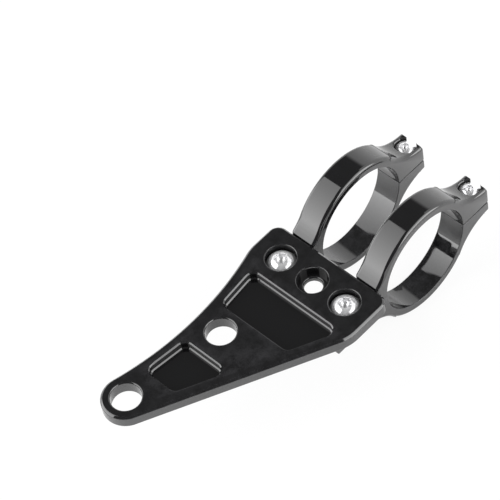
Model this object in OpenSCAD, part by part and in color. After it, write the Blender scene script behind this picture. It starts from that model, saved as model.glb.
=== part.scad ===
// Headlight mounting bracket, one of a pair, for a motorcycle fork tube.
// A flat black plate carries the lamp; two split ring clamps under its rear edge
// hold it to the tube. All sizes in millimetres, Z up.
// Origin: on the axis of the fork tube, halfway between the two clamps.
// +X points from the plate through the rings to the clamp ears, Y lies along the tube.

/* [Fork clamps] */
// Diameter of the fork tube that the rings hold
fork_d = 39; // [35:0.5:50]
// Thickness of the ring around the tube
ring_wall = 3.7; // [3:0.1:6]
// Width of a clamp along the tube
clamp_w = 10.4; // [9:0.2:14]
// Distance between the middles of the two clamps
clamp_pitch = 29.4; // [26:0.2:44]
// Radius of the rounded outer edges of the clamps
edge_r = 1.5; // [0.8:0.1:2]
// Radius of the hollow neck between a ring and its ear or foot
neck_r = 18; // [12:1:24]
// Height of the split line above the axis of the tube
split_z = -0.8; // [-1.2:0.1:0]
// Gap left between the two ears for tightening
nip = 0.4; // [0.2:0.1:1]
// Height of an ear at its thinnest place, from the axis of the tube
ear_h = 6.2; // [5.6:0.1:9]
// Height of the foot, from the axis of the tube down
foot_h = 6.8; // [6:0.1:10]

/* [Plate] */
// Thickness of the plate
plate_t = 5.5; // [4.5:0.1:8]
// Height of the plate's upper face above the axis of the tube
plate_top = 8.8; // [8.6:0.1:12]
// Width of the plate along the tube
plate_w = 51.8; // [48:0.2:80]
// Gap between the plate's rear edge and the rings
rear_gap = 1.2; // [0.4:0.1:3]
// Distance from the rear edge to the row of screw holes
screw_margin = 10.2; // [9:0.1:14]
// Distance from the row of screw holes to the hole in the nose
nose_reach = 73.9; // [68:0.1:100]
// Sideways place of the hole in the nose
nose_y = 16.4; // [8:0.1:18]
// Radius of the nose around its hole
nose_r = 8.7; // [7.5:0.1:12]
// Radius of the hollow side of the plate
hollow_r = 124; // [100:1:250]
// Diameter of the two lamp holes
lamp_hole_d = 10.8; // [8:0.1:12]
// Width of the bevel along the plate's edges
bevel = 0.8; // [0.3:0.1:1.2]
// Depth of the two shallow pockets
pocket_depth = 1.1; // [0.5:0.1:2]
// Width of the rib left between a pocket and the plate's sides
pocket_rib = 4; // [3:0.1:6]

/* [Screws] */
// Thread diameter of the screws that hold the plate to the clamps
plate_screw_d = 6; // [5:1:6]
// Length of those screws under the head
plate_screw_l = 12; // [10:1:16]
// Thread diameter of the screws that close the clamps
pinch_screw_d = 4; // [3:1:4]
// Length of those screws under the head
pinch_screw_l = 10; // [8:1:16]

/* [Hidden] */
$fn = 96;
over = 0.3;           // cutters run this far past the faces that they cut
// a round this much larger than its nominal radius crosses the faces that it joins
meet = 1.002;
fork_r = fork_d / 2;
ring_r = fork_r + ring_wall;
half_w = clamp_w / 2;
clamp_ys = [clamp_pitch / 2, -clamp_pitch / 2];

// button head screws: head width 1.75 d and 1.9 d, height 0.55 d, key 0.66 d and 0.63 d
plate_head_d = 1.75 * plate_screw_d;
plate_head_h = 0.55 * plate_screw_d;
pinch_head_d = 1.9 * pinch_screw_d;
pinch_head_h = 0.55 * pinch_screw_d;
bore_play = 0.6;      // screw in its clearance hole
thread_play = 0.1;    // screw in its tapped hole
sink_play = 0.5;      // head in its counterbore

// plate, measured from the row of screw holes (u) and along the tube (y)
row_x = -(ring_r + rear_gap + screw_margin);
side_y = plate_w / 2;
rear_corner_r = 4;
nose_u = -nose_reach;
plate_bottom = plate_top - plate_t;
sink_d = plate_head_d + sink_play;
sink_depth = plate_head_h + 0.1;
rim_bevel = 0.4;

// the straight side runs from a shoulder to the nose
shoulder_u = -9.8;
shoulder_r = 16;
to_nose = [nose_u - shoulder_u, nose_y + side_y];
lean = atan2(to_nose[1], to_nose[0]) + asin(nose_r / norm(to_nose));
side_n = [-sin(lean), cos(lean)];
nose_s = [nose_u, nose_y] + nose_r * side_n;
shoulder_t = shoulder_r * tan((180 - lean) / 2);
shoulder_c = [shoulder_u + shoulder_t, -side_y + shoulder_r];
shoulder_s = [shoulder_u, -side_y] + shoulder_t * [cos(lean), sin(lean)];
function straight_y(u) = -side_y + (u - shoulder_u) * tan(lean);

// the hollow side is one large arc that touches the nose and the other shoulder
hollow_u = -3.7;
reach_c = [hollow_u - nose_u, side_y - nose_y];
span = norm(reach_c);
along = (pow(hollow_r + nose_r, 2) - pow(hollow_r, 2) + span * span) / (2 * span);
across = sqrt(pow(hollow_r + nose_r, 2) - along * along);
hollow_c = [nose_u, nose_y] + (along * reach_c + across * [-reach_c[1], reach_c[0]]) / span;
hip_r = 20;
hip_c = [hollow_c[0] + sqrt(pow(hollow_r + hip_r, 2) - pow(hollow_c[1] - side_y + hip_r, 2)), side_y - hip_r];
function hollow_y(u) = hollow_c[1] - sqrt(pow(hollow_r, 2) - pow(u - hollow_c[0], 2));

// lamp holes, and the pockets between them
mid_hole = [0.474 * nose_u, 0.595 * nose_y];
pocket_r = 3;
pocket_a = [-9.8, mid_hole[0] + lamp_hole_d / 2 + 2.8];
pocket_b = [mid_hole[0] - lamp_hole_d / 2 - 4.7, nose_u + lamp_hole_d / 2 + 6.1];

// clamp, measured from the axis of the tube
ear_x = fork_r + 9.5 + (ring_wall - 3.7);
ear_end = ear_x + 3.5;
ear_sink_d = pinch_head_d + 0.6;
ear_seat = 4.2 + (ear_h - 6.2);
foot_x = row_x - 10.8;
foot_corner_r = 2.5;
ear_corner_r = 1.8;
neck_gap = 0.03;      // the neck dips this far into the ring, so that the two meet
function neck_x(h) = sqrt(pow(ring_r + neck_r - neck_gap, 2) - pow(h + neck_r, 2));

// what has to go from a square corner at the origin to round it off
module corner_waste(r) {
    difference() {
        translate([-1, -1]) square([r + 1, r + 1]);
        translate([r, r]) circle(r * meet);
    }
}

function bearing(v) = atan2(v[1], v[0]);
function unit(v) = v / norm(v);
function dir(a) = [cos(a), sin(a)];

// waste that bevels a straight edge by c, body on the left of p -> q, its face at z = 0
module edge_waste(p, q, c) {
    translate([p[0], p[1], 0]) rotate(bearing(q - p)) rotate([90, 0, 90])
        translate([0, 0, -1]) linear_extrude(norm(q - p) + 2)
            polygon([[-over, -c - over], [c + over, over], [-over, over]]);
}

// waste around a rounded corner between the bearings a0 and a1, from z = 0 down to -t,
// with bevels c at the top and b at the bottom
module round_waste(ctr, a0, a1, r, t, c, b) {
    steps = ceil((a1 - a0) / 45);
    reach = 3 * r;
    translate([ctr[0], ctr[1], 0]) difference() {
        translate([0, 0, -t - over]) linear_extrude(t + 2 * over)
            polygon([[0, 0], for (i = [0:steps]) reach * dir(a0 + (a1 - a0) * i / steps)]);
        rotate_extrude() polygon([[0, 2 * over], [(r - c - 2 * over) * meet, 2 * over],
            [r * meet, -c], [r * meet, b - t], [(r - b - 2 * over) * meet, -t - 2 * over], [0, -t - 2 * over]]);
    }
}

module plate_blank() {
    side = unit(shoulder_s - nose_s);
    far = [nose_u, nose_y] + 1.5 * nose_r * unit(hollow_c - [nose_u, nose_y]);
    rear = [[screw_margin, -side_y], [screw_margin, side_y]];
    shoulder = [shoulder_u, -side_y];
    hip = [hollow_u, side_y];
    difference() {
        translate([0, 0, -plate_t]) linear_extrude(plate_t)
            polygon([rear[0], rear[1], hip, far, far - 1.1 * nose_r * side,
                     nose_s - 1.1 * nose_r * side, shoulder]);
        for (m = [0, 1]) translate([0, 0, -m * plate_t]) mirror([0, 0, m]) {
            edge_waste(rear[0], rear[1], bevel);
            edge_waste(rear[1], hip, bevel);
            edge_waste(nose_s, shoulder, bevel);
            edge_waste(shoulder, rear[0], bevel);
        }
        // the hollow side
        translate([hollow_c[0], hollow_c[1], 0]) rotate_extrude() polygon([[0, over],
            [hollow_r + bevel + over, over], [hollow_r, -bevel], [hollow_r, bevel - plate_t],
            [hollow_r + bevel + over, -plate_t - over], [0, -plate_t - over]]);
        // the rounded corners, counterclockwise from the rear
        round_waste(rear[0] + rear_corner_r * [-1, 1], -90, 0, rear_corner_r, plate_t, bevel, bevel);
        round_waste(rear[1] + rear_corner_r * [-1, -1], 0, 90, rear_corner_r, plate_t, bevel, bevel);
        round_waste(hip_c, 90, bearing(hollow_c - hip_c), hip_r, plate_t, bevel, bevel);
        round_waste([nose_u, nose_y], bearing(hollow_c - [nose_u, nose_y]), 360 + bearing(side_n),
                    nose_r, plate_t, bevel, bevel);
        round_waste(shoulder_c, bearing(side_n), -90, shoulder_r, plate_t, bevel, bevel);
    }
}

// straight hole with a small bevel at both rims, from z = 0 down
module rimmed_hole(d, t) {
    translate([0, 0, -t - 1]) cylinder(d = d, h = t + 2);
    translate([0, 0, -rim_bevel]) cylinder(d1 = d, d2 = d + 4 * rim_bevel, h = 2 * rim_bevel);
    translate([0, 0, -t - rim_bevel]) cylinder(d1 = d + 4 * rim_bevel, d2 = d, h = 2 * rim_bevel);
}

// counterbored hole for a plate screw, from z = 0 down
module sunk_hole() {
    translate([0, 0, -plate_t - 1]) cylinder(d = plate_screw_d + bore_play, h = plate_t + 2);
    translate([0, 0, -sink_depth]) cylinder(d = sink_d, h = sink_depth + 1);
    translate([0, 0, -0.25]) cylinder(d1 = sink_d, d2 = sink_d + 1, h = 0.5);
    translate([0, 0, -sink_depth - 0.4])
        cylinder(d1 = plate_screw_d + bore_play, d2 = plate_screw_d + bore_play + 1, h = 0.5);
}

function inset(p, i, r) =
    let (a = p[i] - p[(i + 3) % 4], b = p[(i + 1) % 4] - p[i],
         n = [-a[1], a[0]] / norm(a), m = [-b[1], b[0]] / norm(b))
    p[i] + (n + m) * r / (1 + n * m);

// shallow pocket with leaning walls; the outline p turns counterclockwise
module pocket(p) {
    h = pocket_depth + over;
    q = [for (i = [0:3]) inset(p, i, -over)];
    out = [for (i = [0:3]) bearing(p[(i + 1) % 4] - p[i]) - 90];
    translate([0, 0, -pocket_depth]) mirror([0, 0, 1]) difference() {
        translate([0, 0, -h]) linear_extrude(h) polygon(q);
        for (i = [0:3]) {
            before = out[(i + 3) % 4];
            edge_waste(q[i], q[(i + 1) % 4], h);
            round_waste(inset(p, i, pocket_r), before, before + (out[i] - before + 720) % 360,
                        pocket_r + over, h, h, 0);
        }
    }
}

function pocket_outline(u, inner) = [
    [u[1], straight_y(u[1]) - pocket_rib / cos(lean)],
    [u[0], straight_y(u[0]) - pocket_rib / cos(lean)],
    [u[0], hollow_y(u[0]) - pocket_rib - inner],
    [u[1], hollow_y(u[1]) - pocket_rib]];

module plate() {
    color([0.09, 0.09, 0.1]) translate([row_x, 0, plate_top])
    difference() {
        plate_blank();
        for (y = [clamp_ys[0], 0, clamp_ys[1]]) translate([0, y, 0]) sunk_hole();
        translate([mid_hole[0], mid_hole[1], 0]) rimmed_hole(lamp_hole_d, plate_t);
        translate([nose_u, nose_y, 0]) rimmed_hole(lamp_hole_d, plate_t);
        pocket(pocket_outline(pocket_a, 1.4));
        pocket(pocket_outline(pocket_b, 0));
    }
}

// turns a flat X-Z drawing into a solid w wide along Y
module along_tube(w) {
    rotate([90, 0, 0]) linear_extrude(w, center = true) children();
}

module ring_section() {
    difference() {
        translate([fork_r - 1, -half_w]) square([ring_wall + 1, clamp_w]);
        translate([ring_r, half_w]) rotate(180) corner_waste(edge_r);
        translate([ring_r, -half_w]) rotate(90) corner_waste(edge_r);
    }
}

// ear beyond the ring, drawn in X-Z: hollow necks above and below, a rounded lower tip
module ear_drawing() {
    difference() {
        translate([0, -ear_h - neck_r / 2]) square([ear_end, 2 * ear_h + neck_r]);
        for (s = [1, -1]) translate([neck_x(ear_h), s * (ear_h + neck_r)]) circle(neck_r);
        translate([ear_end, -ear_h]) rotate(90) corner_waste(ear_corner_r);
        circle(fork_r + ring_wall / 2);
        translate([-1, -50]) square([fork_r * 0.9, 100]);
    }
}

// foot under the plate, drawn in X-Z: one hollow neck below
module foot_drawing() {
    difference() {
        translate([foot_x, -foot_h - neck_r / 2]) square([-foot_x, plate_bottom + foot_h + neck_r / 2]);
        translate([-neck_x(foot_h), -foot_h - neck_r]) circle(neck_r);
        translate([foot_x - 1, -foot_h - neck_r]) square([1 - foot_x - neck_x(foot_h), neck_r]);
        translate([foot_x, -foot_h]) corner_waste(foot_corner_r);
        circle(fork_r + ring_wall / 2);
        translate([-fork_r * 0.9 + 1, -50]) square([fork_r, 100]);
    }
}

// rounds the outer edges of a neck at both faces of the clamp
module neck_round(x, h) {
    for (s = [1, -1]) translate([x, 0, h]) rotate([90, 0, 0]) mirror([0, 0, (1 - s) / 2])
        rotate_extrude() translate([neck_r, half_w]) mirror([0, 1]) corner_waste(edge_r);
}

// rounds a straight edge of the clamp that runs along X
module edge_round(x0, x1, z) {
    for (s = [1, -1]) translate([x0, s * half_w, z]) rotate([90, 0, 90]) mirror([(1 + s) / 2, 0])
        linear_extrude(x1 - x0) corner_waste(edge_r);
}

module clamp_body() {
    difference() {
        union() {
            rotate([90, 0, 0]) rotate_extrude() ring_section();
            difference() {
                union() {
                    along_tube(clamp_w) ear_drawing();
                    along_tube(clamp_w) foot_drawing();
                }
                for (s = [1, -1]) neck_round(neck_x(ear_h), s * (ear_h + neck_r));
                neck_round(-neck_x(foot_h), -foot_h - neck_r);
                edge_round(foot_x - 1, -neck_x(foot_h), -foot_h);
            }
        }
        rotate([90, 0, 0]) cylinder(r = fork_r, h = clamp_w + 2, center = true);
        for (s = [1, -1]) rotate([90 * s, 0, 0]) translate([0, 0, half_w - 0.3])
            cylinder(r1 = fork_r, r2 = fork_r + 0.6, h = 0.6);
    }
}

module upper_half(y) {
    color([0.12, 0.12, 0.13]) translate([0, y, 0])
    difference() {
        clamp_body();
        translate([-100, -50, split_z - 100]) cube([200, 100, 100]);
        translate([ear_x, 0, -10]) cylinder(d = pinch_screw_d + bore_play, h = 30);
        translate([ear_x, 0, ear_seat]) cylinder(d = ear_sink_d, h = 30);
        translate([row_x, 0, -10]) cylinder(d = plate_screw_d + bore_play, h = 30);
    }
}

module lower_half(y) {
    color([0.12, 0.12, 0.13]) translate([0, y, 0])
    difference() {
        clamp_body();
        translate([-100, -50, split_z]) cube([200, 100, 100]);
        translate([0, -50, split_z - nip]) cube([100, 100, 100]);
        translate([ear_x, 0, -30]) cylinder(d = pinch_screw_d + thread_play, h = 40);
        translate([row_x, 0, -30]) cylinder(d = plate_screw_d + thread_play, h = 40);
    }
}

// button head screw with a six-sided socket; z = 0 under the head
module button_screw(d, l, head_d, head_h, key) {
    land = 0.15 * head_h;
    dome_r = (pow(head_d / 2, 2) + pow(head_h - land, 2)) / (2 * (head_h - land));
    difference() {
        union() {
            intersection() {
                cylinder(d = head_d, h = head_h - 0.02 * head_h);
                translate([0, 0, head_h - dome_r]) sphere(dome_r);
            }
            translate([0, 0, 0.6 - l]) cylinder(d = d, h = l);
            translate([0, 0, -l]) cylinder(d1 = d - 1, d2 = d, h = 0.6);
        }
        translate([0, 0, 0.4 * head_h]) cylinder(d = key / cos(30), h = head_h, $fn = 6);
        translate([0, 0, head_h - 0.35]) cylinder(d1 = key, d2 = key + 1.6, h = 0.8);
    }
}

module plate_screw(y) {
    color([0.75, 0.76, 0.78]) translate([row_x, y, plate_top - sink_depth])
        button_screw(plate_screw_d, plate_screw_l, plate_head_d, plate_head_h, 0.667 * plate_screw_d);
}

module pinch_screw(y) {
    color([0.75, 0.76, 0.78]) translate([ear_x, y, ear_seat])
        button_screw(pinch_screw_d, pinch_screw_l, pinch_head_d, pinch_head_h, 0.625 * pinch_screw_d);
}

plate();
upper_half(clamp_ys[0]);  // upper_half_1
lower_half(clamp_ys[0]);  // lower_half_1
upper_half(clamp_ys[1]);  // upper_half_2
lower_half(clamp_ys[1]);  // lower_half_2
plate_screw(clamp_ys[0]);  // plate_screw_1
plate_screw(clamp_ys[1]);  // plate_screw_2
pinch_screw(clamp_ys[0]);  // pinch_screw_1
pinch_screw(clamp_ys[1]);  // pinch_screw_2
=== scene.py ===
# %% [markdown]
# # A headlight bracket for a motorcycle fork
# The object is a flat black plate that carries one side of a headlight, and two split
# ring clamps that hold the plate to the fork tube. Four bright button head screws keep
# it together. The solids were made in CAD, to size, and are loaded here. Blender adds
# edges that are a little round, deeper pockets, the necks of the upper clamp halves,
# drill points, threads, and finishes that catch the light as the real ones do.

# %% Load the solids and note how large they are
import bpy
import bmesh
import math
from mathutils import Vector, Matrix


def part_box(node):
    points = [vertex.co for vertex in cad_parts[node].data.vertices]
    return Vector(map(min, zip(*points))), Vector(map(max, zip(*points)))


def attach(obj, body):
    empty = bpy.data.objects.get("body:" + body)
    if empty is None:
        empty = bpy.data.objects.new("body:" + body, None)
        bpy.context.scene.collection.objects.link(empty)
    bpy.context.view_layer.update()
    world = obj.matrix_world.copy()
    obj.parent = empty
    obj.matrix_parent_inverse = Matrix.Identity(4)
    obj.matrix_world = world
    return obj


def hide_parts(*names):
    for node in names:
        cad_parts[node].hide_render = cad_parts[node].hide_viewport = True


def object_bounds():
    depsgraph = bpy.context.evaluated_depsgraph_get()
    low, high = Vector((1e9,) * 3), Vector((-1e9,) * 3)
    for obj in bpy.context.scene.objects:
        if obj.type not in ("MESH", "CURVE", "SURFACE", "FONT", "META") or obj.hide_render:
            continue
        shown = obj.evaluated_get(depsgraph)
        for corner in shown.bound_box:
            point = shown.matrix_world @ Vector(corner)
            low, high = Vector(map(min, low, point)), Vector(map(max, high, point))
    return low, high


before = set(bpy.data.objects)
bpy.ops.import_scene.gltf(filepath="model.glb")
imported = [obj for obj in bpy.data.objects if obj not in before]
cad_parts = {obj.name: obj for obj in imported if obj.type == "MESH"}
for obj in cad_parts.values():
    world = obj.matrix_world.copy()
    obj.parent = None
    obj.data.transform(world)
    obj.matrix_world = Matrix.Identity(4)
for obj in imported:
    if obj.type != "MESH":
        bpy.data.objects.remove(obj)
solid_low, solid_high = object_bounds()
scene = bpy.context.scene
MM = 0.001
print("solids:", sorted(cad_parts))
print("overall, mm:", [round((b - a) / MM, 1) for a, b in zip(solid_low, solid_high)])

# %% [markdown]
# ## The camera
# The photograph was taken from high up, over the plate's side, with a long lens: circles
# at the near and the far clamp are almost equally large. Such a view is set by a place,
# a direction and a focal length. Three directions that stand square on each other make
# the camera's matrix: right, up, and backwards, because a camera looks along its own -Z.

# %% Camera at the photograph's place
PHOTO_PLACE = (-0.4023, -0.4345, 0.7971)
PHOTO_LOOK = (0.37002, 0.46789, -0.80260)
PHOTO_UP = (0.63240, 0.50601, 0.58654)
PHOTO_FOCAL_MM = 207.35

def aim_camera(name, place, look, up, focal_mm):
    data = bpy.data.cameras.new(name)
    camera = bpy.data.objects.new(name, data)
    scene.collection.objects.link(camera)
    look = Vector(look).normalized()
    right = look.cross(Vector(up)).normalized()
    turn = Matrix((right, right.cross(look), -look)).transposed().to_4x4()
    camera.matrix_world = Matrix.Translation(place) @ turn
    data.sensor_width = 36
    data.lens = focal_mm
    data.clip_start = 0.01
    return camera

scene.camera = aim_camera("photo_camera", PHOTO_PLACE, PHOTO_LOOK, PHOTO_UP, PHOTO_FOCAL_MM)
print("camera is", round((scene.camera.location - (solid_low + solid_high) / 2).length, 3), "m away")

# %% [markdown]
# ## Floor and room
# Gloss black shows hardly any colour of its own. It shows the room. On the rings in the
# photograph one can read that room off: the ceiling is dark, a wide soft light stands on
# the left, a stronger and lower one on the right, and the walls between are fairly light.
# Their straight edges, mirrored in the rings, are what tells the eye that the metal is
# round and polished. The room is therefore drawn into the world by bearing and height,
# in degrees, and it lights the part as well. The table is white. Its white towards the
# camera comes from a Light Path mix, so that no extra light falls on the object, and the
# rest is a plain diffuse white that keeps the shadow. Mirrored in the metal, the table is
# mostly that diffuse white, so the ground that the rings shade is mirrored darker.
# Scattered light sees the room brighter than a mirror does. That makes the table white
# without making the lights in the gloss black too strong.

# %% Helpers for node trees
def scalar(tree, operation, a, b=None, clamp=False):
    """One Math node; a and b are numbers or sockets."""
    node = tree.nodes.new("ShaderNodeMath")
    node.operation = operation
    node.use_clamp = clamp
    for slot, value in enumerate((a, b)):
        if value is None:
            continue
        if isinstance(value, (int, float)):
            node.inputs[slot].default_value = value
        else:
            tree.links.new(value, node.inputs[slot])
    return node.outputs[0]

def rays_of_kind(tree, keys):
    """A mask that is 1 for the kinds of ray named in keys."""
    path = tree.nodes.new("ShaderNodeLightPath")
    total = path.outputs[keys[0]]
    for key in keys[1:]:
        total = scalar(tree, "MAXIMUM", total, path.outputs[key])
    return total

# %% White table
SEEN_WHITE = 0.9
MIRRORED_WHITE = 0.15
PAPER = (0.9, 0.9, 0.9, 1)
TABLE_GAP = 0.2 * MM

def white_table(level, half=4.0):
    mesh = bpy.data.meshes.new("table")
    corners = [(-half, -half, level), (half, -half, level), (half, half, level), (-half, half, level)]
    mesh.from_pydata(corners, [], [(0, 1, 2, 3)])
    table = bpy.data.objects.new("table", mesh)
    scene.collection.objects.link(table)
    paper = bpy.data.materials.new("white_table")
    paper.use_nodes = True
    tree = paper.node_tree
    tree.nodes.clear()
    out = tree.nodes.new("ShaderNodeOutputMaterial")
    matt = tree.nodes.new("ShaderNodeBsdfDiffuse")
    matt.inputs["Color"].default_value = PAPER
    glow = tree.nodes.new("ShaderNodeEmission")
    glow.inputs["Color"].default_value = (1, 1, 1, 1)
    glow.inputs["Strength"].default_value = 1.0
    mix = tree.nodes.new("ShaderNodeMixShader")
    seen = rays_of_kind(tree, ["Is Camera Ray", "Is Transmission Ray"])
    mirrored = rays_of_kind(tree, ["Is Glossy Ray"])
    share = scalar(tree, "MAXIMUM", scalar(tree, "MULTIPLY", seen, SEEN_WHITE),
                   scalar(tree, "MULTIPLY", mirrored, MIRRORED_WHITE))
    tree.links.new(share, mix.inputs[0])
    tree.links.new(matt.outputs[0], mix.inputs[1])
    tree.links.new(glow.outputs[0], mix.inputs[2])
    tree.links.new(mix.outputs[0], out.inputs["Surface"])
    mesh.materials.append(paper)
    return table

table = white_table(solid_low.z - TABLE_GAP)
print("table at z =", round(table.data.vertices[0].co.z / MM, 2), "mm")

# %% Room over the table
def slope(tree, value, low, high, start, end, smooth=False):
    """Leads value from start, at low, to end, at high."""
    node = tree.nodes.new("ShaderNodeMapRange")
    node.interpolation_type = "SMOOTHSTEP" if smooth else "LINEAR"
    for label, number in (("From Min", low), ("From Max", high), ("To Min", start), ("To Max", end)):
        node.inputs[label].default_value = number
    tree.links.new(value, node.inputs["Value"])
    return node.outputs["Result"]

def window(tree, value, low, high, soft):
    """1 between low and high, 0 outside, with edges as wide as soft."""
    rise = slope(tree, value, low - soft / 2, low + soft / 2, 0, 1, smooth=True)
    fall = slope(tree, value, high - soft / 2, high + soft / 2, 1, 0, smooth=True)
    return scalar(tree, "MULTIPLY", rise, fall)

# name, bearing from and to, height from and to, glow at the lower and the upper edge, softness
LIGHTS = (("left panel", 101, 172, -6, 64, 5.2, 2.1, 2),
          ("right panel", -98, -40, -4, 56, 7.5, 1.5, 5),
          ("side wall", -40, 18, -4, 52, 1.6, 1.2, 5),
          ("back wall", 18, 101, -4, 34, 1.6, 1.0, 8))
CEILING = 0.15
DIFFUSE_BOOST = 2.2

def room_world():
    """White towards the camera, the lights of the room towards everything else."""
    world = bpy.data.worlds.new("room")
    scene.world = world
    world.use_nodes = True
    tree = world.node_tree
    tree.nodes.clear()
    out = tree.nodes.new("ShaderNodeOutputWorld")
    seen = tree.nodes.new("ShaderNodeBackground")
    seen.inputs["Color"].default_value = (1, 1, 1, 1)
    room = tree.nodes.new("ShaderNodeBackground")
    mix = tree.nodes.new("ShaderNodeMixShader")
    where = tree.nodes.new("ShaderNodeTexCoord")
    parts = tree.nodes.new("ShaderNodeSeparateXYZ")
    tree.links.new(where.outputs["Generated"], parts.inputs[0])
    bearing = scalar(tree, "DEGREES", scalar(tree, "ARCTAN2", parts.outputs["Y"], parts.outputs["X"]))
    height = scalar(tree, "DEGREES", scalar(tree, "ARCSINE", parts.outputs["Z"]))
    glow = CEILING
    for name, left, right, low, high, glow_low, glow_high, soft in LIGHTS:
        area = scalar(tree, "MULTIPLY", window(tree, bearing, left, right, soft),
                      window(tree, height, low, high, soft))
        strength = slope(tree, height, low, high, glow_low, glow_high)
        glow = scalar(tree, "ADD", scalar(tree, "MULTIPLY", area, strength), glow)
    more = scalar(tree, "MULTIPLY", rays_of_kind(tree, ["Is Diffuse Ray"]), DIFFUSE_BOOST - 1)
    glow = scalar(tree, "MULTIPLY", glow, scalar(tree, "ADD", more, 1))
    tree.links.new(glow, room.inputs["Strength"])
    tree.links.new(rays_of_kind(tree, ["Is Camera Ray"]), mix.inputs[0])
    tree.links.new(room.outputs[0], mix.inputs[1])
    tree.links.new(seen.outputs[0], mix.inputs[2])
    tree.links.new(mix.outputs[0], out.inputs["Surface"])

room_world()
scene.view_settings.view_transform = "Standard"
print("room lights:", [light[0] for light in LIGHTS])

# %% [markdown]
# ## Effects that more than one finish shares
# Three things happen to every metal surface here, only more on one than on another:
# a fine grain from etching or plating, faint smudges from handling, and edges that are
# rubbed brighter. Each is a node group that is built once and given its own numbers in
# each material. A group gives out plain values only. The shader itself stays in the
# material.

# %% Group: fine grain and smudges
def new_group(name, inputs, outputs):
    group = bpy.data.node_groups.new(name, "ShaderNodeTree")
    for label, start in inputs:
        socket = group.interface.new_socket(label, in_out="INPUT", socket_type="NodeSocketFloat")
        socket.default_value = start
    group.interface.new_socket("Position", in_out="INPUT", socket_type="NodeSocketVector")
    for label in outputs:
        group.interface.new_socket(label, in_out="OUTPUT", socket_type="NodeSocketFloat")
    return group, group.nodes.new("NodeGroupInput"), group.nodes.new("NodeGroupOutput")

def noise(tree, where, scale, detail=3.0, rough=0.5):
    node = tree.nodes.new("ShaderNodeTexNoise")
    node.inputs["Scale"].default_value = scale
    node.inputs["Detail"].default_value = detail
    node.inputs["Roughness"].default_value = rough
    tree.links.new(where, node.inputs["Vector"])
    return node.outputs["Fac"]

def surface_grain():
    """Etched grain of about a tenth of a millimetre, and smudges of a few millimetres."""
    group, given, out = new_group("surface_grain", [("Smudge", 0.5)], ["Grain", "Smudges"])
    place = given.outputs["Position"]
    fine = noise(group, place, 9000, 2.0, 0.6)
    broad = noise(group, place, 1600, 2.0, 0.5)
    both = scalar(group, "ADD", scalar(group, "MULTIPLY", fine, 0.6), scalar(group, "MULTIPLY", broad, 0.4))
    group.links.new(both, out.inputs["Grain"])
    patch = noise(group, place, 130, 4.0, 0.62)
    streak = noise(group, place, 420, 3.0, 0.6)
    smear = scalar(group, "MULTIPLY", scalar(group, "SUBTRACT", patch, 0.46, True), 3.2, True)
    smear = scalar(group, "MULTIPLY", smear, streak)
    group.links.new(scalar(group, "MULTIPLY", smear, given.outputs["Smudge"], True), out.inputs["Smudges"])
    return group

grain_group = surface_grain()
print("group:", grain_group.name)

# %% Group: rubbed edges
def rubbed_edges():
    """Where an edge stands out and noise lets it through, the finish is rubbed brighter."""
    group, given, out = new_group("rubbed_edges", [("Edge", 0.0), ("Wear", 0.5)], ["Mask"])
    patch = noise(group, given.outputs["Position"], 260, 4.0, 0.65)
    speck = noise(group, given.outputs["Position"], 2400, 2.0, 0.6)
    blend = scalar(group, "ADD", scalar(group, "MULTIPLY", patch, 0.7),
                   scalar(group, "MULTIPLY", speck, 0.3))
    bare = scalar(group, "MULTIPLY", scalar(group, "SUBTRACT", blend, 0.40, True), 5.0, True)
    bare = scalar(group, "MULTIPLY", bare, given.outputs["Edge"])
    group.links.new(scalar(group, "MULTIPLY", bare, given.outputs["Wear"], True), out.inputs["Mask"])
    return group

wear_group = rubbed_edges()
print("group:", wear_group.name)

# %% Group: turning marks
def turning_marks():
    """Fine rings left by a lathe, from a ring attribute in millimetres."""
    group, given, out = new_group("turning_marks", [("Ring", 0.0), ("Pitch", 0.1)], ["Height"])
    turns = scalar(group, "DIVIDE", given.outputs["Ring"], given.outputs["Pitch"])
    wave = scalar(group, "SINE", scalar(group, "MULTIPLY", turns, 2 * math.pi))
    uneven = noise(group, given.outputs["Position"], 900, 2.0, 0.5)
    group.links.new(scalar(group, "MULTIPLY", wave, uneven), out.inputs["Height"])
    return group

marks_group = turning_marks()
print("group:", marks_group.name)

# %% [markdown]
# ## The finishes
# The plate and the clamps are aluminium with a hard gloss black finish. It mirrors about
# a twelfth of the light that falls straight on it and far more at a glance, so an index
# of refraction of 1.8 stands for it, over an almost black base. The smudges only make
# the mirror a little blurred. The rubbed edges let a grey through. The screws are steel
# with a bright plating. It mirrors most of the light and scatters the rest, so that a
# head stays light where it faces the dark ceiling.

# %% Black finishes
def start_material(name):
    material = bpy.data.materials.new(name)
    material.use_nodes = True
    tree = material.node_tree
    shader = tree.nodes["Principled BSDF"]
    where = tree.nodes.new("ShaderNodeTexCoord").outputs["Object"]
    return material, tree, shader, where

def use_group(tree, group, where, **values):
    node = tree.nodes.new("ShaderNodeGroup")
    node.node_tree = group
    tree.links.new(where, node.inputs["Position"])
    for key, value in values.items():
        if isinstance(value, (int, float)):
            node.inputs[key].default_value = value
        else:
            tree.links.new(value, node.inputs[key])
    return node

def attribute(tree, name):
    node = tree.nodes.new("ShaderNodeAttribute")
    node.attribute_name = name
    return node.outputs["Fac"]

def colour_mix(tree, mask, dark, light):
    mix = tree.nodes.new("ShaderNodeMix")
    mix.data_type = "RGBA"
    mix.inputs["A"].default_value = dark + (1,)
    mix.inputs["B"].default_value = light + (1,)
    tree.links.new(mask, mix.inputs["Factor"])
    return mix.outputs["Result"]

def bump(tree, shader, height, strength, depth_mm):
    node = tree.nodes.new("ShaderNodeBump")
    node.inputs["Strength"].default_value = strength
    node.inputs["Distance"].default_value = depth_mm * MM
    tree.links.new(height, node.inputs["Height"])
    tree.links.new(node.outputs["Normal"], shader.inputs["Normal"])

BLACK = (0.006, 0.006, 0.0065)
BARE = (0.16, 0.16, 0.17)

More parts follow.
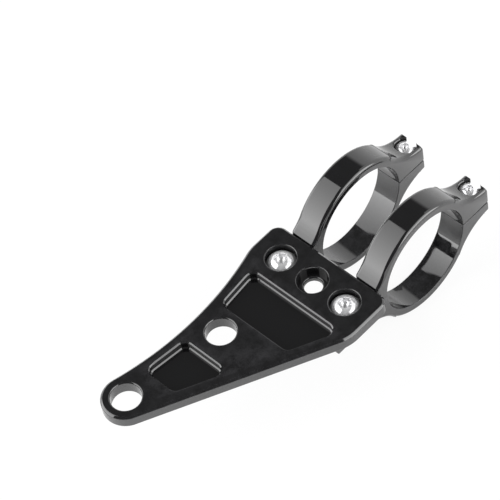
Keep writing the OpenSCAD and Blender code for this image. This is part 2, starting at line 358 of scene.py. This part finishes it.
def gloss_black(name, smudge, wear, polish, peel):
    """Smudge and wear are shares, polish is the roughness, peel the grain's depth in millimetres."""
    material, tree, shader, where = start_material(name)
    grain = use_group(tree, grain_group, where, Smudge=smudge)
    rub = use_group(tree, wear_group, where, Edge=attribute(tree, "edge"), Wear=wear)
    tree.links.new(colour_mix(tree, rub.outputs["Mask"], BLACK, BARE), shader.inputs["Base Color"])
    rough = scalar(tree, "ADD", scalar(tree, "MULTIPLY", grain.outputs["Smudges"], 0.22), polish)
    rough = scalar(tree, "ADD", rough, scalar(tree, "MULTIPLY", rub.outputs["Mask"], 0.18))
    tree.links.new(rough, shader.inputs["Roughness"])
    tree.links.new(scalar(tree, "MULTIPLY", rub.outputs["Mask"], 0.85), shader.inputs["Metallic"])
    shader.inputs["IOR"].default_value = 1.8
    bump(tree, shader, grain.outputs["Grain"], 0.25, peel)
    return material

plate_black = gloss_black("gloss_black_plate", smudge=0.25, wear=0.15, polish=0.07, peel=0.003)
clamp_black = gloss_black("gloss_black_clamp", smudge=0.2, wear=0.12, polish=0.04, peel=0.002)
print("finishes:", plate_black.name, clamp_black.name)

# %% Bright screws
def bright_steel(name, colour, polish, marks):
    """Plated steel; marks says how strongly the lathe's rings show."""
    material, tree, shader, where = start_material(name)
    grain = use_group(tree, grain_group, where, Smudge=0.6)
    turned = use_group(tree, marks_group, where, Ring=attribute(tree, "ring"), Pitch=0.11)
    dull = tuple(0.72 * c for c in colour)
    tree.links.new(colour_mix(tree, grain.outputs["Smudges"], colour, dull), shader.inputs["Base Color"])
    shader.inputs["Metallic"].default_value = 0.6
    rough = scalar(tree, "ADD", scalar(tree, "MULTIPLY", grain.outputs["Smudges"], 0.2), polish)
    tree.links.new(rough, shader.inputs["Roughness"])
    height = scalar(tree, "ADD", scalar(tree, "MULTIPLY", turned.outputs["Height"], marks),
                    scalar(tree, "MULTIPLY", grain.outputs["Grain"], 0.3))
    bump(tree, shader, height, 0.3, 0.004)
    return material

screw_bright = bright_steel("bright_screw", (0.86, 0.86, 0.87), polish=0.08, marks=0.5)
thread_steel = bright_steel("thread_steel", (0.62, 0.62, 0.63), polish=0.25, marks=0.2)
print("finishes:", screw_bright.name, thread_steel.name)

# %% [markdown]
# ## Round the edges
# No machined edge is perfectly sharp, and on gloss black a rounded edge is a thin bright
# line that draws the shape. The solids come as loose triangles. A copy is merged, flat
# neighbours are joined into whole faces, and a Bevel modifier rounds each edge that
# stands out by more than its limit. Weighted normals then keep flat faces flat. The copy
# stands for the solid, which stays underneath, hidden.

# %% Helpers: a merged copy and its round edges
# from here on, named lengths are in millimetres and named angles in degrees
NEAR = 0.02
FLAT_TURN = 0.6

def merged_copy(node):
    """A copy of a solid's mesh, in which points closer than NEAR have become one."""
    piece = bpy.data.objects.new(node + "_dressed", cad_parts[node].data.copy())
    scene.collection.objects.link(piece)
    bm = bmesh.new()
    bm.from_mesh(piece.data)
    bmesh.ops.remove_doubles(bm, verts=bm.verts, dist=NEAR * MM)
    bmesh.ops.dissolve_degenerate(bm, dist=NEAR * MM, edges=bm.edges)
    bmesh.ops.dissolve_limit(bm, angle_limit=math.radians(FLAT_TURN), verts=bm.verts, edges=bm.edges)
    for face in bm.faces:
        face.smooth = True
    bm.to_mesh(piece.data)
    bm.free()
    if "custom_normal" in piece.data.attributes:
        piece.data.attributes.remove(piece.data.attributes["custom_normal"])
    return piece

def bake(piece):
    """Turns the modifiers into plain mesh and takes them off."""
    mesh = bpy.data.meshes.new_from_object(piece.evaluated_get(bpy.context.evaluated_depsgraph_get()))
    piece.modifiers.clear()
    piece.data = mesh
    return piece

def bevel_edges(piece, width_mm, steps, chosen):
    """Bevels the edges for which chosen(edge) holds; more steps make them round."""
    bm = bmesh.new()
    bm.from_mesh(piece.data)
    bm.normal_update()
    weights = bm.edges.layers.float
    weight = weights.get("bevel_weight_edge") or weights.new("bevel_weight_edge")
    for e in bm.edges:
        e[weight] = 1.0 if chosen(e) else 0.0
    bm.to_mesh(piece.data)
    bm.free()
    bevel = piece.modifiers.new("round_edges", "BEVEL")
    bevel.width = width_mm * MM
    bevel.segments = steps
    bevel.limit_method = "WEIGHT"
    bevel.use_clamp_overlap = False
    bevel.miter_outer = "MITER_SHARP"
    return bake(piece)

def round_edges(piece, radius_mm, steps=2, limit=24, shortest_mm=0.0, skip=lambda e: False):
    """Rounds the edges that stand out, but none that ends where an edge is very short."""
    def stands_out(e):
        crowded = any(n.calc_length() < shortest_mm * MM for v in e.verts for n in v.link_edges)
        return math.degrees(e.calc_face_angle_signed(0)) > limit and not crowded and not skip(e)
    return bevel_edges(piece, radius_mm, steps, stands_out)

def keep_flats_flat(piece, sharp=180):
    """Shades flat faces as flat ones; an edge that turns by more than sharp degrees stays sharp."""
    bm = bmesh.new()
    bm.from_mesh(piece.data)
    for e in bm.edges:
        e.smooth = math.degrees(abs(e.calc_face_angle_signed(0))) < sharp
    bm.to_mesh(piece.data)
    bm.free()
    weigh = piece.modifiers.new("keep_flats_flat", "WEIGHTED_NORMAL")
    weigh.keep_sharp = True
    weigh.weight = 50
    return bake(piece)

def paint(piece, material):
    piece.data.materials.clear()
    piece.data.materials.append(material)

print("points closer than", NEAR, "mm are merged")

# %% Helpers: mark edges and rings, hand over
def mark_edges(piece, soft=7, full=24):
    """Writes how sharply the surface turns at each vertex, from 0 to 1, as an attribute."""
    bm = bmesh.new()
    bm.from_mesh(piece.data)
    turn = []
    for v in bm.verts:
        turn.append(max((math.degrees(e.calc_face_angle_signed(0)) for e in v.link_edges), default=0))
    bm.free()
    edge = piece.data.attributes.new("edge", "FLOAT", "POINT")
    edge.data.foreach_set("value", [min(max((t - soft) / (full - soft), 0), 1) for t in turn])
    return sum(1 for t in turn if t > soft)

def mark_rings(piece):
    """Writes each vertex's distance from the screw's axis, in millimetres."""
    low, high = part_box(piece.name.replace("_dressed", ""))
    cx, cy = (low.x + high.x) / 2, (low.y + high.y) / 2
    ring = piece.data.attributes.new("ring", "FLOAT", "POINT")
    reach = [math.hypot(v.co.x - cx, v.co.y - cy) / MM for v in piece.data.vertices]
    ring.data.foreach_set("value", reach)

def hand_over(piece, node):
    """Puts the piece on the body root, in the place of the solid called node."""
    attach(piece, "root")
    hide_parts(node)

# %% [markdown]
# ## The pocket walls
# In the photograph each pocket's far walls show as two thin bright lines with plain black
# between them, and its near walls don't show at all. That looks like steep walls with a
# small bevel at the lip and another at the foot, each of which mirrors a light. The depth
# isn't settled. At 3 mm the lines on the rear wall lie as far apart as in the photograph,
# but those on the side wall lie nearly a third too far apart, which by proportion would
# fit 2.3 mm. The solid has a plainer and shallower pocket with leaning walls. On the copy
# the floor is let down, and the walls' points move out until the walls are steep.

# %% Steep walls for the pockets
PLAIN_DEPTH = 1.1       # depth of the solid's pockets
SHOWN_DEPTH = 3.0       # depth on the copy
DRAFT = 0.05            # how far a wall's foot still stands in from its lip
LEANING = (0.3, 0.95)   # upward share of the normal of a leaning wall, from and to

def deepen_pockets(piece):
    """Lets each pocket's floor down and makes its walls steep; returns how many points it moved."""
    bm = bmesh.new()
    bm.from_mesh(piece.data)
    bm.normal_update()
    top = max(v.co.z for v in bm.verts)
    depth = {v: (top - v.co.z) / MM for v in bm.verts}
    wall_points = {v for v in bm.verts if abs(depth[v] - PLAIN_DEPTH) < NEAR}
    fresh = wall_points
    while fresh:
        fresh = {n.other_vert(v) for v in fresh for n in v.link_edges} - wall_points
        fresh = {v for v in fresh if NEAR < depth[v] < PLAIN_DEPTH}
        wall_points = wall_points | fresh
    moves = {}
    for v in wall_points:
        walls = [f.normal.xy.normalized() for f in v.link_faces if LEANING[0] < f.normal.z < LEANING[1]]
        if walls:
            a, b = min(((m, n) for m in walls for n in walls), key=lambda pair: pair[0].dot(pair[1]))
            moves[v] = (a + b) / (1 + a.dot(b)) * depth[v] * (1 - DRAFT / PLAIN_DEPTH) * MM
    for v, inward in moves.items():
        v.co = (v.co.x - inward.x, v.co.y - inward.y, top - depth[v] / PLAIN_DEPTH * SHOWN_DEPTH * MM)
    bm.to_mesh(piece.data)
    bm.free()
    return len(moves)

# %% Plate
PLATE_ROUND = 0.2
POCKET_BEVEL = 0.42
STEEP = 0.3             # a wall's normal points up by less than this
LEVEL = 0.98            # a level face's normal points up by more than this
DEPTH_SLACK = 0.1

def pocket_rim(top):
    """Picks the edges of the pockets' lips and feet out of a plate whose face is at top."""
    def on_rim(e):
        depths = {round((top - v.co.z) / MM, 1) for v in e.verts}
        walls = [f for f in e.link_faces if f.normal.z < LEVEL]
        if len(walls) != 1 or walls[0].normal.z > STEEP:
            return False
        deepest = max((top - v.co.z) / MM for v in walls[0].verts)
        lip = depths == {0.0} and deepest < SHOWN_DEPTH + DEPTH_SLACK
        return lip or (depths == {SHOWN_DEPTH} and abs(deepest - SHOWN_DEPTH) < DEPTH_SLACK)
    return on_rim

plate = merged_copy("plate")
print("points on the pockets' walls:", deepen_pockets(plate))
on_rim = pocket_rim(max(v.co.z for v in plate.data.vertices))
plate = round_edges(plate, PLATE_ROUND, skip=on_rim)
plate = bevel_edges(plate, POCKET_BEVEL, 1, on_rim)
plate = keep_flats_flat(plate, sharp=30)
print("edge vertices:", mark_edges(plate))
paint(plate, plate_black)
hand_over(plate, "plate")

# %% [markdown]
# ## The neck between ring and foot
# In the photograph each ring stays light right down to the plate, where a round surface
# would mirror the dark plate. So it seems that the surface doesn't go on round there, but
# turns back in a hollow neck that leads to the plate's rear edge, as it does on the other
# side towards the ear. Where it starts and ends was chosen. The solid leaves a plain
# gap at this place. On the copy of an upper half, the outer surface is cut into narrow
# strips, and their edges move out onto the arc of the neck.

# %% Lead the ring into the foot
RING_R = 23.2           # outer radius of the ring
SKIN_R = 21.6           # points farther out than this are on the outer surface
NECK_R = 18.0           # radius of the hollow arc
NECK_START = 57.0       # where the arc leaves the ring, in degrees from the ring's top
NECK_END_X = -24.15     # a little short of the plate's rear edge, which is at -24.4
FOOT_TOP = 3.3          # height of the plate's underside
FRONT_SHARE = 0.7       # faces beyond this share of RING_R are on the plate's side
SLACK = 0.05

def ring_x(z):
    """X of the ring's outer surface, on the plate's side, at height z, in millimetres."""
    return -math.sqrt(RING_R ** 2 - z ** 2)

def neck_x(z):
    """X of the neck at height z, in millimetres: an arc that touches the ring."""
    start = math.radians(NECK_START)
    centre_x = -(RING_R + NECK_R) * math.sin(start)
    centre_z = (RING_R + NECK_R) * math.cos(start)
    lean = math.acos(min(max((centre_z - z) / NECK_R, -1), 1))
    if lean >= start:
        return ring_x(z)
    return max(centre_x + NECK_R * math.sin(lean), NECK_END_X)

def cut_level(bm, z):
    """Cuts the faces on the plate's side at height z, in millimetres."""
    near = [f for f in bm.faces if all(v.co.x < -FRONT_SHARE * RING_R * MM for v in f.verts)]
    edges = {e for f in near for e in f.edges}
    points = {v for f in near for v in f.verts}
    bmesh.ops.bisect_plane(bm, geom=near + list(edges) + list(points), dist=NEAR / 2 * MM,
                           plane_co=(0, 0, z * MM), plane_no=(0, 0, 1))

def lead_into_foot(piece, strips=14):
    """Moves the skin below the neck's start onto the neck; returns how many points it moved."""
    high = RING_R * math.cos(math.radians(NECK_START))
    bm = bmesh.new()
    bm.from_mesh(piece.data)
    for k in range(strips):
        cut_level(bm, high - (high - FOOT_TOP) * k / strips)
    moved = 0
    for v in bm.verts:
        x, z = v.co.x / MM, v.co.z / MM
        on_skin = -RING_R - SLACK < x < 0 and math.hypot(x, z) > SKIN_R
        if on_skin and FOOT_TOP - SLACK < z < high:
            v.co.x += (neck_x(z) - ring_x(z)) * MM
            moved += 1
    bm.to_mesh(piece.data)
    bm.free()
    return moved

print("the neck starts at z =", round(RING_R * math.cos(math.radians(NECK_START)), 2), "mm")

# %% Clamp halves
CLAMP_ROUND = 0.18
SHORTEST = 0.15         # an edge that ends at a shorter one stays sharp

for node in ("upper_half_1", "lower_half_1", "upper_half_2", "lower_half_2"):
    piece = merged_copy(node)
    if node.startswith("upper"):
        print(node, "neck points:", lead_into_foot(piece))
    piece = round_edges(piece, CLAMP_ROUND, limit=50, shortest_mm=SHORTEST)
    piece = keep_flats_flat(piece)
    marked = mark_edges(piece)
    paint(piece, clamp_black)
    hand_over(piece, node)
    print(node, len(piece.data.polygons), "faces,", marked, "edge vertices")

# %% [markdown]
# ## Screws with a rolled thread
# A thread is one ridge that climbs round the shaft, so it is made as what it is: a
# spiral with a small round section swept along it. Geometry Nodes hold the recipe once,
# with the radius, pitch and length as named inputs, and all four screws use it. The
# plain shaft is first drawn in at its end to the thread's core. It keeps its width under
# the head, so it tapers, and the ridge stands out from it more and more towards the end.
# A drill left a cone at the bottom of each socket.

# %% The thread recipe
def thread_recipe():
    tree = bpy.data.node_groups.new("rolled_thread", "GeometryNodeTree")
    face = tree.interface
    face.new_socket("Geometry", in_out="INPUT", socket_type="NodeSocketGeometry")
    for label in ("Radius", "Pitch", "Length", "Ridge"):
        face.new_socket(label, in_out="INPUT", socket_type="NodeSocketFloat")
    face.new_socket("Foot", in_out="INPUT", socket_type="NodeSocketVector")
    face.new_socket("Finish", in_out="INPUT", socket_type="NodeSocketMaterial")
    face.new_socket("Geometry", in_out="OUTPUT", socket_type="NodeSocketGeometry")
    given = tree.nodes.new("NodeGroupInput")
    out = tree.nodes.new("NodeGroupOutput")
    spiral = tree.nodes.new("GeometryNodeCurveSpiral")
    spiral.inputs["Resolution"].default_value = 28
    turns = tree.nodes.new("ShaderNodeMath")
    turns.operation = "DIVIDE"
    section = tree.nodes.new("GeometryNodeCurvePrimitiveCircle")
    section.inputs["Resolution"].default_value = 6
    sweep = tree.nodes.new("GeometryNodeCurveToMesh")
    sweep.inputs["Fill Caps"].default_value = True
    move = tree.nodes.new("GeometryNodeTransform")
    smooth = tree.nodes.new("GeometryNodeSetShadeSmooth")
    finish = tree.nodes.new("GeometryNodeSetMaterial")
    join = tree.nodes.new("GeometryNodeJoinGeometry")
    real = tree.nodes.new("GeometryNodeRealizeInstances")
    link = tree.links.new
    link(given.outputs["Length"], turns.inputs[0])
    link(given.outputs["Pitch"], turns.inputs[1])
    link(turns.outputs[0], spiral.inputs["Rotations"])
    link(given.outputs["Radius"], spiral.inputs["Start Radius"])
    link(given.outputs["Radius"], spiral.inputs["End Radius"])
    link(given.outputs["Length"], spiral.inputs["Height"])
    link(given.outputs["Ridge"], section.inputs["Radius"])
    link(spiral.outputs[0], sweep.inputs["Curve"])
    link(section.outputs["Curve"], sweep.inputs["Profile Curve"])
    link(sweep.outputs[0], move.inputs["Geometry"])
    link(given.outputs["Foot"], move.inputs["Translation"])
    link(move.outputs[0], smooth.inputs[0])
    link(smooth.outputs[0], finish.inputs["Geometry"])
    link(given.outputs["Finish"], finish.inputs["Material"])
    link(given.outputs["Geometry"], join.inputs[0])
    link(finish.outputs[0], join.inputs[0])
    link(join.outputs[0], real.inputs[0])
    link(real.outputs[0], out.inputs[0])
    return tree

thread_tree = thread_recipe()
print("recipe:", thread_tree.name)

# %% Draw in a shaft and wind the thread on it
# The head's height before its socket is cut, as a share of the thread's diameter. The
# socket's rim ends lower, so the seat that is worked out from it is 0.2 to 0.3 mm low.
HEAD_SHARE = 0.539
RIDGE_SHARE = 0.27      # radius of the ridge's section as a share of the pitch
UNDER_HEAD = 0.8        # points nearer to that seat than this aren't drawn in
THREAD_START = 0.6      # thread's distance from the shaft's end
THREAD_STOP = 1.0       # thread's distance from that seat
SAME_AXIS = 0.1         # a socket's floor is centred on the axis within this

def draw_in_shaft(piece, axis, seat, core_mm):
    """Draws the shaft's end in to the thread's core, so that the shaft tapers."""
    for v in piece.data.vertices:
        away = Vector((v.co.x - axis.x, v.co.y - axis.y))
        if v.co.z < seat - UNDER_HEAD * MM and away.length > core_mm * MM:
            away *= core_mm * MM / away.length
            v.co.x, v.co.y = axis.x + away.x, axis.y + away.y

def drill_point(piece, axis):
    """Gives the flat floor of the socket the cone that a drill leaves, 120 degrees wide."""
    bm = bmesh.new()
    bm.from_mesh(piece.data)
    floors = [f for f in bm.faces if f.normal.z > LEVEL and len(f.verts) == 6
              and (f.calc_center_median().xy - axis.xy).length < SAME_AXIS * MM]
    for f in floors:
        reach = min((v.co.xy - axis.xy).length for v in f.verts)
        bmesh.ops.poke(bm, faces=[f], offset=-reach / math.tan(math.radians(60)))
    bm.to_mesh(piece.data)
    bm.free()
    return len(floors)

def wind_thread(piece, axis, foot, length_mm, radius_mm, pitch_mm):
    ridge = RIDGE_SHARE * pitch_mm
    modifier = piece.modifiers.new("thread", "NODES")
    modifier.node_group = thread_tree
    sizes = {"Radius": (radius_mm - ridge) * MM, "Pitch": pitch_mm * MM, "Length": length_mm * MM,
             "Ridge": ridge * MM, "Foot": (axis.x, axis.y, foot), "Finish": thread_steel}
    for item in thread_tree.interface.items_tree:
        if item.item_type == "SOCKET" and item.in_out == "INPUT" and item.name in sizes:
            modifier[item.identifier] = sizes[item.name]
    return bake(piece)

print("the uncut head's height is", HEAD_SHARE, "of the thread's diameter")

# %% Screws
SCREW_ROUND = 0.12

for node, thread_d, pitch in (("plate_screw_1", 6, 1.0), ("plate_screw_2", 6, 1.0),
                              ("pinch_screw_1", 4, 0.7), ("pinch_screw_2", 4, 0.7)):
    low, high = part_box(node)
    axis = Vector(((low.x + high.x) / 2, (low.y + high.y) / 2, 0))
    seat = high.z - HEAD_SHARE * thread_d * MM
    piece = merged_copy(node)
    paint(piece, screw_bright)
    draw_in_shaft(piece, axis, seat, thread_d / 2 - 2 * RIDGE_SHARE * pitch)
    drilled = drill_point(piece, axis)
    piece = round_edges(piece, SCREW_ROUND, steps=3)
    piece = keep_flats_flat(piece)
    length = (seat - low.z) / MM - THREAD_START - THREAD_STOP
    piece = wind_thread(piece, axis, low.z + THREAD_START * MM, length, thread_d / 2, pitch)
    mark_edges(piece)
    mark_rings(piece)
    hand_over(piece, node)
    print(node, "sockets", drilled, "thread", round(length / pitch, 1), "turns")
